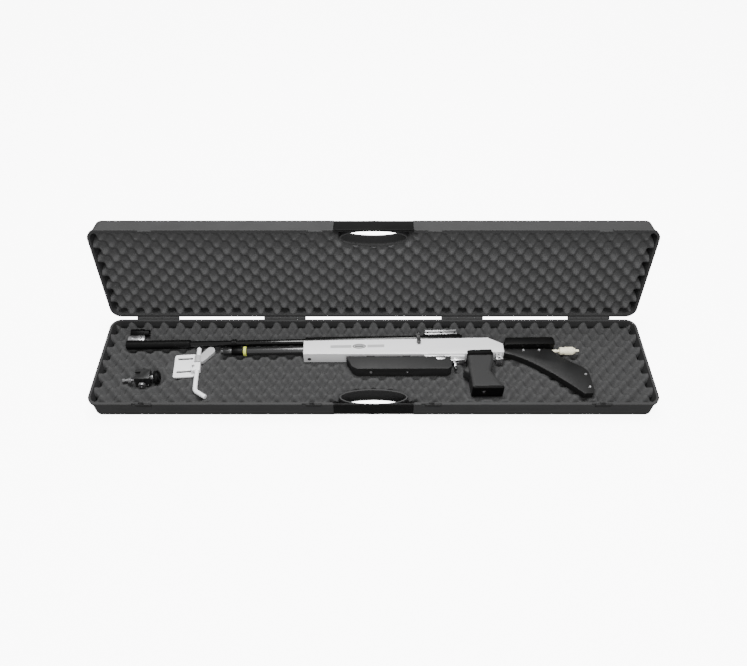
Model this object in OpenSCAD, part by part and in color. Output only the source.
// Hard carrying case holding a dismounted target air rifle (inert display likeness), a butt hook and a diopter sight.
// Case base on the floor at z = 0, length along X, hinge side at +Y. The lid stands open.

/* [Case] */
// Outside length of the case
case_l = 1250; // [1230:1:1280]
// Front edge to hinge axis
case_w = 250; // [245:1:260]
// Height of one shell, so half the closed height
shell_h = 50; // [48:0.5:55]
// Wall thickness of the shells
wall = 3; // [2.5:0.1:3.5]
// How far the walls lean in from rim to base
draft = 2.5; // [2:0.5:9]
// How far the rim lip stands proud of the walls
lip_out = 3; // [2:0.5:3]
// Height of the rim lip
lip_h = 6; // [5:0.5:7]
// Corner radius at the rim
corner_r = 24; // [18:1:30]
// Angle from the closed lid to the open one
open_angle = 97.7; // [90:0.1:105]
// Thickness of the foam where the contents press it
foam_h = 18; // [14:0.5:19]

/* [Hinges and latches] */
// Distance of the hinge groups from the middle
hinge_x = [212, 515]; // [150:1:560]
// Width of one knuckle, five to a group
knuckle_w = 20; // [16:1:22]
// Outside radius of the knuckles
knuckle_r = 3.8; // [3.4:0.1:3.9]
// Radius of the hinge pins
pin_r = 1.5; // [1:0.1:2]
// Distance of the latches from the middle
latch_x = [130, 500]; // [100:1:540]
// Length of a latch slide
latch_l = 34; // [28:1:36]
// Travel of a latch slide
latch_travel = 8; // [6:0.5:8]

/* [Handle] */
// Half length of the hand hole at the rim
hole_a = 72; // [66:1:75]
// Half width of the hand hole at the rim
hole_b = 18; // [16:0.5:18.5]
// Thickness of the moulded wall round the hand hole
boss = 3; // [2.5:0.5:4]
// Half length of the grip strip
grip_strip_a = 88; // [80:1:95]
// Thickness of the grip strip
strip_t = 1.5; // [1:0.1:1.6]

/* [Rifle layout] */
// Turn of the rifle in its bed
rifle_turn = 1.3; // [0:0.1:2]
// Barrel axis, distance towards the hinge at the case's middle
rifle_y = 56; // [50:1:60]
// Height of the rifle's middle plane
rifle_z = 47; // [45:0.5:48]

/* [Barrel and sights] */
// Front end of the barrel
muzzle_u = -573; // [-580:1:-560]
// Barrel radius
barrel_r = 7.5; // [7:0.1:8]
// Weight sleeve radius
sleeve_r = 10.5; // [10:0.1:11]
// Weight sleeve length
sleeve_l = 147; // [120:1:160]
// Air cylinder radius
cylinder_r = 10; // [9:0.1:11]
// Drop from the barrel axis to the cylinder axis
cylinder_drop = 24; // [22:0.5:26]
// Height of the front sight tunnel above the barrel axis
tunnel_v = 36; // [34:0.5:38]

/* [Stock] */
// Front and rear ends of the stock body
stock_u = [-161, 297]; // [-170:1:310]
// Half thickness of the stock body
stock_w = 15; // [13:0.5:16]
// Drop from the barrel axis to the stock's top edge
stock_top = 8; // [7:0.5:9]
// Half thickness of the hand grip
grip_w = 20; // [18:0.5:22]
// Half thickness of the butt frame
butt_w = 9; // [8:0.5:10]

/* [Hidden] */
$fn = 48;
e = 0.01;
play = 0.05;
hinge_y = case_w / 2;
front_y = -case_w / 2;
hole_y = front_y + lip_out + 4.5 + hole_b;
shell_w = case_w - 4;
shell_y = -2;
draft_a = atan(draft / shell_h);
foam_inset = draft + lip_out + wall + 0.5;
rim_z = shell_h - 0.15;
slide_x0 = -latch_l / 2 - latch_travel - 1;
slide_x1 = latch_l / 2 + 1;
action_r = 11.5;
action_u = [-158, 206];

// ---- shared shapes ----

// Rounded rectangle, centred
module rounded(l, w, r) {
    square([l - 2 * r, w], center = true);
    square([l, w - 2 * r], center = true);
    for (x = [-1, 1], y = [-1, 1])
        translate([x * (l / 2 - r), y * (w / 2 - r)]) circle(r);
}

// Thin rounded plate of a drafted shell at one height
module slice(z, inset, h = 0.4) {
    translate([0, shell_y, z]) linear_extrude(h)
        rounded(case_l - 2 * inset, shell_w - 2 * inset, corner_r - min(inset, 14), $fn = 32);
}

// Rod along the rifle's length
module u_rod(u0, u1, r, v = 0, w = 0) {
    translate([u0, v, w]) rotate([0, 90, 0]) cylinder(h = u1 - u0, r = r);
}

// Rod across the rifle, from side to side
module w_rod(u, v, w0, w1, r) {
    translate([u, v, w0]) cylinder(h = w1 - w0, r = r);
}

// Rod up the rifle, from its belly to its sights
module v_rod(u, w, v0, v1, r) {
    translate([u, v0, w]) rotate([-90, 0, 0]) cylinder(h = v1 - v0, r = r);
}

// Plate of a given outline, centred on the rifle's middle plane
module side_plate(half) {
    translate([0, 0, -half]) linear_extrude(2 * half) children();
}

// Screw head with a hexagon socket, its top at w1
module socket_head(u, v, w0, w1, r) {
    difference() {
        w_rod(u, v, w0, w1, r);
        translate([u, v, w1 - (w1 - w0) / 2]) cylinder(h = w1, r = r * 0.55, $fn = 6);
    }
}

// The rifle lies on its side, its left face up
module lay_rifle() {
    translate([0, rifle_y, rifle_z]) rotate([0, 0, rifle_turn]) children();
}

// The lid is drawn as a tray and folded over the hinge axis
module place_lid() {
    translate([0, hinge_y, shell_h]) rotate([180 - open_angle, 0, 0]) mirror([0, 1, 0])
        translate([0, -hinge_y, -shell_h]) children();
}

// ---- case ----

function ellipse(a, b) = [for (t = [0 : 7.5 : 359]) [a * cos(t), b * sin(t)]];

// Round of the hand hole, grown by a margin; it leans with the drafted front wall
module hand_hole(grow, z0, z1) {
    translate([0, hole_y, shell_h]) rotate([draft_a, 0, 0])
        translate([0, 0, z0 - shell_h]) linear_extrude(z1 - z0)
            polygon(ellipse(hole_a + grow, hole_b + grow));
}

// Slab that follows the drafted front wall, from depth d0 to d1 behind its face
module front_slab(half, d0, d1, z0, z1) {
    translate([0, front_y + lip_out, shell_h]) rotate([draft_a, 0, 0])
        translate([-half, d0, z0 - shell_h]) cube([2 * half, d1 - d0, z1 - z0]);
}

module shell() {
    difference() {
        union() {
            difference() {
                union() {
                    hull() {
                        slice(0, draft + lip_out + 3);
                        slice(4, draft + lip_out - 1);
                        slice(rim_z - 0.4, lip_out);
                    }
                    slice(rim_z - lip_h, 0, lip_h);
                }
                hull() {
                    slice(wall, draft + lip_out + wall);
                    slice(shell_h + e, lip_out + wall);
                }
            }
            intersection() {
                hand_hole(boss, -10, shell_h - 8);
                translate([-100, front_y, 1]) cube([200, 60, shell_h - 9]);
            }
            front_slab(grip_strip_a + 3, 0.5, 5.5, 4, 42);
        }
        hand_hole(0, -20, shell_h + 20);
        front_slab(grip_strip_a, -9, strip_t, -9, shell_h + 9);
        // the rim is set back in front of the hand hole
        translate([-grip_strip_a - 1, front_y - 1, shell_h - 8]) cube([2 * grip_strip_a + 2, 12, 9]);
    }
}

// Knuckles of one shell: places counts the fifths of a group, from the left
module knuckles(places, bore) {
    for (side = [-1, 1], hx = hinge_x, k = places)
        translate([side * hx + (k - 2) * knuckle_w, hinge_y, shell_h]) difference() {
            union() {
                rotate([0, 90, 0]) cylinder(h = knuckle_w - 0.6, r = knuckle_r, center = true);
                translate([-(knuckle_w - 0.6) / 2, -6, -5]) cube([knuckle_w - 0.6, 6, 4.85]);
            }
            rotate([0, 90, 0]) cylinder(h = knuckle_w, r = bore, center = true);
        }
}

// Notches in the rim lip at the latches, from x0 to x1 about each latch's middle
module latch_cuts(z0, x0, x1) {
    for (side = [-1, 1], lx = latch_x)
        translate([side * lx + x0, front_y - 1, z0])
            cube([x1 - x0, 1 + lip_out, shell_h - z0 + 1]);
}

module tray_shell() {
    color("#48484a") {
        difference() {
            shell();
            latch_cuts(shell_h - 10, slide_x0, slide_x1);
        }
        // rails that the latch slides run on
        for (side = [-1, 1], lx = latch_x)
            translate([side * lx + slide_x0, front_y + 1.5, 43])
                cube([slide_x1 - slide_x0, 3.5, 2]);
        knuckles([0, 2, 4], pin_r + play / 2);
    }
}

module lid_shell() {
    color("#67676a") place_lid() {
        difference() {
            shell();
            latch_cuts(shell_h - 8, -latch_l / 2 - 2, latch_l / 2 + 2);
        }
        // ledges that the latch hooks catch behind
        for (side = [-1, 1], lx = latch_x)
            translate([side * lx - latch_l / 2 - 2, front_y + 0.2, shell_h - 3])
                cube([7.5, 3.4, 2.5]);
        knuckles([1, 3], pin_r + play);
    }
}

module hinge_pins() {
    color("#2a2a2c") for (side = [-1, 1], hx = hinge_x)
        translate([side * hx, hinge_y, shell_h]) rotate([0, 90, 0])
            cylinder(h = 5 * knuckle_w - 4, r = pin_r, center = true);
}

// Foam pad with room for the hand hole's wall
module foam() {
    difference() {
        translate([0, shell_y, wall]) linear_extrude(foam_h)
            rounded(case_l - 2 * foam_inset, shell_w - 2 * foam_inset, corner_r - foam_inset);
        hand_hole(boss + 1, -20, shell_h);
        translate([-grip_strip_a - 4, front_y, 0]) cube([2 * grip_strip_a + 8, 21, shell_h]);
    }
}

module tray_foam() {
    color("#505052") foam();
}

module lid_foam() {
    color("#484849") place_lid() foam();
}

// Soft strip wrapped over the bar in front of the hand hole
module grip_strip() {
    difference() {
        union() {
            front_slab(grip_strip_a - 0.3, 0, strip_t, 5, shell_h - 8.2);
            translate([1 - grip_strip_a, front_y + 3, shell_h - 8]) cube([2 * grip_strip_a - 2, 4, 2]);
        }
        hand_hole(0.2, -20, shell_h + 20);
    }
}

module tray_grip() {
    color("#161617") grip_strip();
}

module lid_grip() {
    color("#161617") place_lid() grip_strip();
}

// Latch slide: a ribbed block on the rail, with a hook that reaches into the lid's rim
module latch_slide(x) {
    color("#8b8b8d") translate([x, front_y, 0]) {
        difference() {
            translate([-latch_l / 2, -0.6, 40.3]) cube([latch_l, 3.3, 9.2]);
            translate([-latch_l / 2 - 1, 1.2, 42.8]) cube([latch_l + 2, 2, 2.4]);
            for (i = [-4 : 4])
                translate([i * 3 - 0.6, -1, 42]) cube([1.2, 0.9, 6]);
        }
        translate([-latch_l / 2 + 14, 0.4, 49]) cube([5, 2, 7]);
        translate([-latch_l / 2 + 7.5, 0.4, 53.6]) cube([8, 2, 2.4]);
    }
}

module latch_slide_1() { latch_slide(-latch_x[1]); }
module latch_slide_2() { latch_slide(-latch_x[0]); }
module latch_slide_3() { latch_slide(latch_x[0]); }
module latch_slide_4() { latch_slide(latch_x[1]); }

// ---- barrel, action and sights ----

module barrel() {
    color("#101011") lay_rifle() difference() {
        u_rod(muzzle_u + 2, action_u[0] + 24, barrel_r);
        // shallow decorative crown, the barrel is solid
        u_rod(muzzle_u + 1, muzzle_u + 3.5, 2.3);
    }
}

module barrel_sleeve() {
    color("#0c0c0d") lay_rifle() difference() {
        u_rod(muzzle_u, muzzle_u + sleeve_l, sleeve_r);
        u_rod(muzzle_u - 1, muzzle_u + sleeve_l + 1, barrel_r);
    }
}

module front_sight_base() {
    color("#d9d9db") lay_rifle() difference() {
        translate([muzzle_u + 2, 8, -9]) cube([38, 14, 18]);
        u_rod(muzzle_u, muzzle_u + 60, sleeve_r);
        translate([muzzle_u + 1, 19, -3]) cube([40, 4, 6]);
    }
}

module front_sight_tunnel() {
    color("#0e0e0f") lay_rifle() difference() {
        union() {
            u_rod(muzzle_u + 4, muzzle_u + 34, 10, tunnel_v);
            u_rod(muzzle_u + 34, muzzle_u + 46, 8, tunnel_v);
            translate([muzzle_u + 6, 22, -5]) cube([30, tunnel_v - 28, 10]);
            translate([muzzle_u + 3, 19, -2.8]) cube([36, 3.5, 5.6]);
        }
        u_rod(muzzle_u + 3, muzzle_u + 47, 7, tunnel_v);
    }
}

module front_sight_insert() {
    color("#18181a") lay_rifle() difference() {
        u_rod(muzzle_u + 18, muzzle_u + 20, 6.98, tunnel_v);
        u_rod(muzzle_u + 17, muzzle_u + 21, 2.1, tunnel_v);
    }
}

module front_sight_screws() {
    color("#b8b8ba") lay_rifle() for (u = [10, 32])
        socket_head(muzzle_u + u, 14.5, 9, 11, 2.6);
}

module barrel_band() {
    color("#1a1a1b") lay_rifle() difference() {
        u_rod(-330, -319, barrel_r + 2.5);
        u_rod(-331, -318, barrel_r);
    }
}

module action_body() {
    color("#121213") lay_rifle() difference() {
        union() {
            u_rod(action_u[0], action_u[1], action_r);
            translate([116, 4, -8]) cube([86, 7.5, 16]);
            w_rod(104, 3, 8, 15.4, 5);
        }
        u_rod(action_u[0] - 1, action_u[0] + 24, barrel_r);
        w_rod(104, 3, 6, 16, 2);
    }
}

module air_cylinder() {
    color("#4c4c50") lay_rifle() {
        u_rod(-293, -130, cylinder_r, -cylinder_drop);
        u_rod(-352, -293 + e, 6, -cylinder_drop);
    }
}

module cylinder_ring() {
    color("#d9dfa8") lay_rifle() difference() {
        u_rod(-300, -293.2, cylinder_r + 1, -cylinder_drop);
        u_rod(-305, -292, 6, -cylinder_drop);
    }
}

module gauge_collar() {
    color("#222224") lay_rifle() difference() {
        union() {
            u_rod(-323, -300.2, cylinder_r - 0.5, -cylinder_drop);
            u_rod(-327, -323 + e, cylinder_r - 2, -cylinder_drop);
        }
        u_rod(-328, -300, 6, -cylinder_drop);
    }
}

module cylinder_gauge() {
    color("#77777a") lay_rifle() difference() {
        union() {
            u_rod(-346, -327.2, cylinder_r - 1, -cylinder_drop);
            w_rod(-333, -cylinder_drop, 0, cylinder_r - 0.2, 3);
        }
        u_rod(-347, -327, 6, -cylinder_drop);
    }
}

module sight_rail() {
    color("#c9c9cb") lay_rifle() difference() {
        translate([121, action_r, -8]) cube([75, 15, 16]);
        // dovetail grooves and clamp slots
        for (s = [-1, 1]) translate([120, action_r + 8, s * 8 - 2]) cube([77, 2.5, 4]);
        for (u = [133, 153, 173]) translate([u, action_r + 12.5, -9]) cube([6, 3, 18]);
    }
}

module rail_screws() {
    color("#3a3a3c") lay_rifle() for (u = [127, 158.5, 190])
        socket_head(u, action_r + 4, 8, 9.4, 2.4);
}

// ---- stock ----

// Height of the stock's lower edge, and of the raiser block's upper one
function belly(u) = -49 - 3 * (u + 66) / 186;
function raiser_top(u) = -56 - 4 * (u + 63) / 237;

module stock_body() {
    top = -stock_top;
    color("#dadadc") lay_rifle() difference() {
        union() {
            side_plate(stock_w) polygon([
                [stock_u[0], top], [264, top], [stock_u[1], -27], [stock_u[1], -51], [274, -51],
                [206, -54], [120, belly(120)], [-66, belly(-66)], [stock_u[0], -47]
            ]);
            // trigger bay under the rear half
            side_plate(stock_w - 4) polygon([[112, -51], [206, -53], [206, -58], [118, -57]]);
        }
        u_rod(stock_u[0] - 1, action_u[1] + 2, action_r);
        u_rod(stock_u[0] - 1, -130, cylinder_r, -cylinder_drop);
        // long flutes lighten both faces
        for (s = [-1, 1]) translate([-130, -45, s * (stock_w + 1) - 1.4]) cube([60, 1.5, 2.8]);
    }
}

module stock_screw() {
    color("#2b2b2d") lay_rifle()
        translate([-148, -47.5, -3]) rotate([90, 0, 0]) difference() {
            cylinder(h = 1.5, r = 4);
            translate([0, 0, 0.5]) cylinder(h = 2, r = 2.2, $fn = 6);
        }
}

// Outline of the raiser block, chamfered at both ends
raiser_screw_u = [-8, 74];
forend_outline = [
    [-63, raiser_top(-63)], [174, raiser_top(174)], [174, -88], [166, -95], [-38, -91], [-50, -84]
];

module forend_block() {
    color("#29292b") lay_rifle() difference() {
        side_plate(14) polygon(forend_outline);
        for (u = raiser_screw_u) {
            v_rod(u, 0, -96, -88, 4.2);
            v_rod(u, 0, -96, -54, 2.55);
        }
    }
}

module forend_spacers() {
    color("#161617") lay_rifle() for (u = raiser_screw_u) difference() {
        side_plate(8) polygon([
            [u - 9, belly(u - 9)], [u + 9, belly(u + 9)],
            [u + 9, raiser_top(u + 9)], [u - 9, raiser_top(u - 9)]
        ]);
        v_rod(u, 0, -62, -45, 2.55);
    }
}

module forend_screws() {
    color("#a9a9ab") lay_rifle() for (u = raiser_screw_u) {
        v_rod(u, 0, -88 - e, belly(u) - 0.2, 2.5);
        translate([u, -92.5, 0]) rotate([-90, 0, 0]) difference() {
            cylinder(h = 4.5, r = 4.1);
            translate([0, 0, -1]) cylinder(h = 3, r = 2.2, $fn = 6);
        }
    }
}

module forend_nut() {
    color("#b9b9bb") lay_rifle() translate([151, -65, 14]) linear_extrude(3) {
        translate([-6, 0]) circle(5);
        translate([6, 0]) circle(5);
        square([12, 10], center = true);
    }
}

module loading_lever() {
    color("#bcbcbe") lay_rifle() difference() {
        union() {
            w_rod(104, 3, 15.6, 20, 6);
            translate([100, -18, 16]) cube([8, 21, 3]);
            w_rod(104, -19, 16, 22, 5);
        }
        w_rod(104, 3, 15, 21, 2 + play);
    }
}

module lever_screw() {
    color("#3a3a3c") lay_rifle() {
        w_rod(104, 3, 9, 20.3, 2);
        socket_head(104, 3, 20.3, 22, 3.4);
    }
}

module trigger_housing() {
    color("#b5b5b7") lay_rifle() difference() {
        translate([175, -66, -7]) cube([31, 8, 14]);
        translate([174, -67, -3]) cube([19, 10, 6]);
        w_rod(180, -62, -8, 8, 1.5 + play / 2);
    }
}

module trigger_pin() {
    color("#8a8a8c") lay_rifle() w_rod(180, -62, -8, 8, 1.5);
}

module trigger_blade() {
    color("#cfcfd1") lay_rifle() difference() {
        union() {
            w_rod(180, -62, -2.6, 2.6, 3.4);
            side_plate(2.6) polygon([[177, -63], [183, -63], [188, -72], [186, -80], [181, -80], [182.5, -72]]);
        }
        w_rod(180, -62, -4, 4, 1.5 + play);
    }
}

module trigger_shoe() {
    color("#111112") lay_rifle() side_plate(4.5)
        polygon([[180.6, -80], [186.4, -80], [187.5, -87], [184, -89], [181.5, -86]]);
}

module grip() {
    color("#3c3c3e") lay_rifle() difference() {
        union() {
            hull() {
                side_plate(grip_w - 4) polygon([[212, -54], [272, -51.6], [269, -78], [259, -108], [212, -90]]);
                side_plate(grip_w) polygon([[216, -60], [264, -60], [262, -78], [254, -106], [218, -92]]);
            }
            hull() {
                side_plate(grip_w - 3) polygon([[211, -88], [259, -106], [284, -150], [283, -153], [214, -152]]);
                side_plate(grip_w) polygon([[216, -90], [254, -104], [272, -145], [220, -145]]);
            }
            side_plate(grip_w - 1.5) polygon([[212, -47], [215, -45.5], [266, -44], [269, -46], [270, -62], [213, -64]]);
            hull() {
                side_plate(grip_w - 6) polygon([[214, -88], [201, -96], [202, -101], [214, -106]]);
                side_plate(grip_w - 10) polygon([[214, -84], [200, -96], [201, -102], [214, -110]]);
            }
        }
        // the collar clasps the stock's lower edge
        side_plate(stock_w + play)
            polygon([[205, -54.1], [206, -54.1], [275, -51.05], [275, -40], [205, -40]]);
        v_rod(240, 0, -154, -142, 5.05);
        v_rod(240, 0, -143, -50, 3.05);
    }
}

module grip_bolt() {
    color("#6b6b6d") lay_rifle() {
        v_rod(240, 0, -142, -53.2, 3);
        translate([240, -150, 0]) rotate([-90, 0, 0]) difference() {
            cylinder(h = 8, r = 5);
            translate([0, 0, -1]) cylinder(h = 5, r = 2.6, $fn = 6);
        }
    }
}

module rear_bracket() {
    color("#b9b9bb") lay_rifle() difference() {
        translate([278, -68, -10]) cube([15, 17, 20]);
        for (v = [-55.5, -63.5]) w_rod(285.5, v, 8, 11, 2.6);
    }
}

module bracket_screws() {
    color("#1d1d1f") lay_rifle() for (v = [-55.5, -63.5])
        socket_head(285.5, v, 8, 9.6, 2.55);
}

// ---- butt ----

cheek_post_u = [330, 386];
butt_rod_v = -43.5;
butt_rod_w = 5;

module butt_frame() {
    arc = [for (t = [0 : 0.125 : 1]) [297 + 161 * t, -49 - 111 * pow(t, 1.45) - 6 * t]];
    color("#333335") lay_rifle() difference() {
        side_plate(butt_w) polygon(concat(
            arc,
            [[461, -166], [478, -165], [482, -158], [480, -108], [473, -97]],
            [[440, -74], [417, -58], [408, -40], [297, -37]]
        ));
        for (u = cheek_post_u) v_rod(u, 0, -58, -30, 3 + play);
        u_rod(396, 420, 3.2, butt_rod_v, butt_rod_w);
    }
}

module butt_screws() {
    color("#b0b0b2") lay_rifle() {
        for (p = [[343, -42.5], [379, -42.8], [471.5, -114], [473, -149]])
            socket_head(p[0], p[1], butt_w, butt_w + 1.6, 2.9);
    }
}

module cheek_block() {
    color("#101011") lay_rifle() difference() {
        hull() {
            translate([301, -36.5, -17]) cube([113, 14, 41]);
            translate([304, -16.5, -12]) cube([107, 2.5, 33]);
        }
        for (u = cheek_post_u) v_rod(u, 0, -37, -24, 3);
    }
}

module cheek_posts() {
    color("#9a9a9c") lay_rifle() for (u = cheek_post_u) v_rod(u, 0, -56, -24, 3);
}

module butt_rod() {
    color("#cdb98a") lay_rifle() {
        u_rod(396, 471, 3.2, butt_rod_v, butt_rod_w);
        u_rod(416.5, 419.5, 4, butt_rod_v, butt_rod_w);
    }
}

module butt_nut() {
    color("#efe9d2") lay_rifle() difference() {
        union() {
            u_rod(426, 459, 9, butt_rod_v, butt_rod_w);
            u_rod(459 - e, 462, 6.5, butt_rod_v, butt_rod_w);
        }
        u_rod(425, 463, 3.2 + play, butt_rod_v, butt_rod_w);
    }
}

// ---- butt hook, lying loose ----

hook_z = 38;
hook_at = [-400, -24];
hook_turn = 4;

module lay_hook() {
    translate([hook_at[0], hook_at[1], hook_z]) rotate([0, 0, hook_turn]) children();
}

module hook_plate() {
    color("#e2e2e4") lay_hook() difference() {
        translate([-31, 18, -6]) linear_extrude(4) rounded(48, 64, 5);
        for (y = [38, 1]) translate([-31, y, -7]) linear_extrude(6) {
            square([30, 5.5], center = true);
            for (s = [-1, 1]) translate([s * 15, 0]) circle(2.75);
        }
    }
}

module hook_clamp() {
    color("#d4d4d6") lay_hook() difference() {
        translate([-13, -6, -2]) cube([20, 22, 13]);
        translate([0, -7, 4.6]) rotate([-90, 0, 0]) cylinder(h = 24, r = 5 + play);
    }
}

module hook_rod() {
    color("#f2f2f4") lay_hook() {
        translate([0, -52 - e, 4.6]) rotate([-90, 0, 0]) cylinder(h = 112, r = 5);
        translate([14, -52, 4.6]) rotate([0, 0, 180]) rotate_extrude(angle = 52)
            translate([14, 0]) circle(5);
        translate([14 - 14 * cos(52), -52 - 14 * sin(52), 4.6]) rotate([0, 0, -38]) rotate([0, 90, 0])
            translate([0, 0, -e]) cylinder(h = 24.5, r = 5);
    }
}

module hook_pad() {
    color("#c6c6c8") lay_hook() difference() {
        union() {
            hull() {
                translate([8, 28, 0]) cylinder(h = 9, r = 9, $fn = 32);
                translate([27, 50, 0]) cylinder(h = 9, r = 10, $fn = 32);
            }
            translate([0, 18, 4.6]) rotate([-90, 0, 0]) cylinder(h = 18, r = 8.5);
        }
        translate([0, 10, 4.6]) rotate([-90, 0, 0]) cylinder(h = 60, r = 5 + play);
    }
}

module hook_screws() {
    color("#9c9c9e") lay_hook() translate([-8, 5, 0]) socket_head(0, 0, 11, 13.5, 3);
}

// ---- diopter sight, lying loose ----

sight_z = 42;
sight_at = [-515, -44];
sight_turn = 3;

module lay_sight() {
    translate([sight_at[0], sight_at[1], sight_z]) rotate([0, 0, sight_turn]) children();
}

module sight_body() {
    color("#55555a") lay_sight() difference() {
        union() {
            translate([-20, -14, -12]) cube([34, 26, 24]);
            translate([-20, -16, -16]) cube([30, 12, 5]);
        }
        translate([-21, -8, 6]) cube([14, 14, 8]);
        translate([-3, -17, -2]) rotate([-90, 0, 0]) cylinder(h = 10, r = 2 + play);
        translate([-26, -10, 2]) rotate([0, 90, 0]) cylinder(h = 12, r = 3 + play);
    }
}

module sight_arm() {
    color("#6d6d70") lay_sight() difference() {
        translate([14, -3, 0]) rotate([0, 90, 0]) cylinder(h = 8, r = 7);
        translate([13, -3, 0]) rotate([0, 90, 0]) cylinder(h = 10, r = 2.5);
    }
}

module sight_disc() {
    color("#0f0f10") lay_sight() translate([22.4, -3, 0]) rotate([0, 90, 0]) difference() {
        union() {
            cylinder(h = 9, r = 15);
            translate([0, 0, 9 - e]) cylinder(h = 3, r = 11);
        }
        translate([0, 0, -1]) cylinder(h = 14, r = 1.2);
    }
}

module windage_knob() {
    color("#8f8f92") lay_sight() translate([0, -10, 2]) rotate([0, -90, 0]) {
        translate([0, 0, 16]) cylinder(h = 10, r = 3);
        translate([0, 0, 26 - e]) cylinder(h = 8, r = 6);
        translate([0, 0, 34 - 2 * e]) cylinder(h = 6, r = 4);
        translate([0, 0, 40 - 3 * e]) cylinder(h = 6, r = 6);
    }
}

module elevation_knob() {
    color("#a5a5a8") lay_sight() translate([-3, -12, -2]) rotate([90, 0, 0]) {
        cylinder(h = 6, r = 2);
        translate([0, 0, 6 - e]) cylinder(h = 7, r = 7.5);
    }
}

module sight_clamp() {
    color("#77777a") lay_sight() {
        translate([-14, 12, -4]) cube([22, 4, 10]);
        translate([-3, 12, 1]) rotate([-90, 0, 0]) cylinder(h = 8, r = 3.5);
    }
}

tray_shell();
lid_shell();
tray_foam();
lid_foam();
tray_grip();
lid_grip();
hinge_pins();
latch_slide_1();
latch_slide_2();
latch_slide_3();
latch_slide_4();
barrel();
barrel_sleeve();
front_sight_base();
front_sight_tunnel();
front_sight_insert();
front_sight_screws();
barrel_band();
action_body();
air_cylinder();
cylinder_ring();
cylinder_gauge();
gauge_collar();
stock_body();
stock_screw();
forend_spacers();
forend_block();
forend_screws();
forend_nut();
sight_rail();
rail_screws();
loading_lever();
lever_screw();
trigger_housing();
trigger_blade();
trigger_shoe();
trigger_pin();
grip();
grip_bolt();
rear_bracket();
bracket_screws();
cheek_block();
cheek_posts();
butt_frame();
butt_screws();
butt_rod();
butt_nut();
hook_plate();
hook_clamp();
hook_rod();
hook_pad();
hook_screws();
sight_body();
sight_arm();
sight_disc();
windage_knob();
elevation_knob();
sight_clamp();
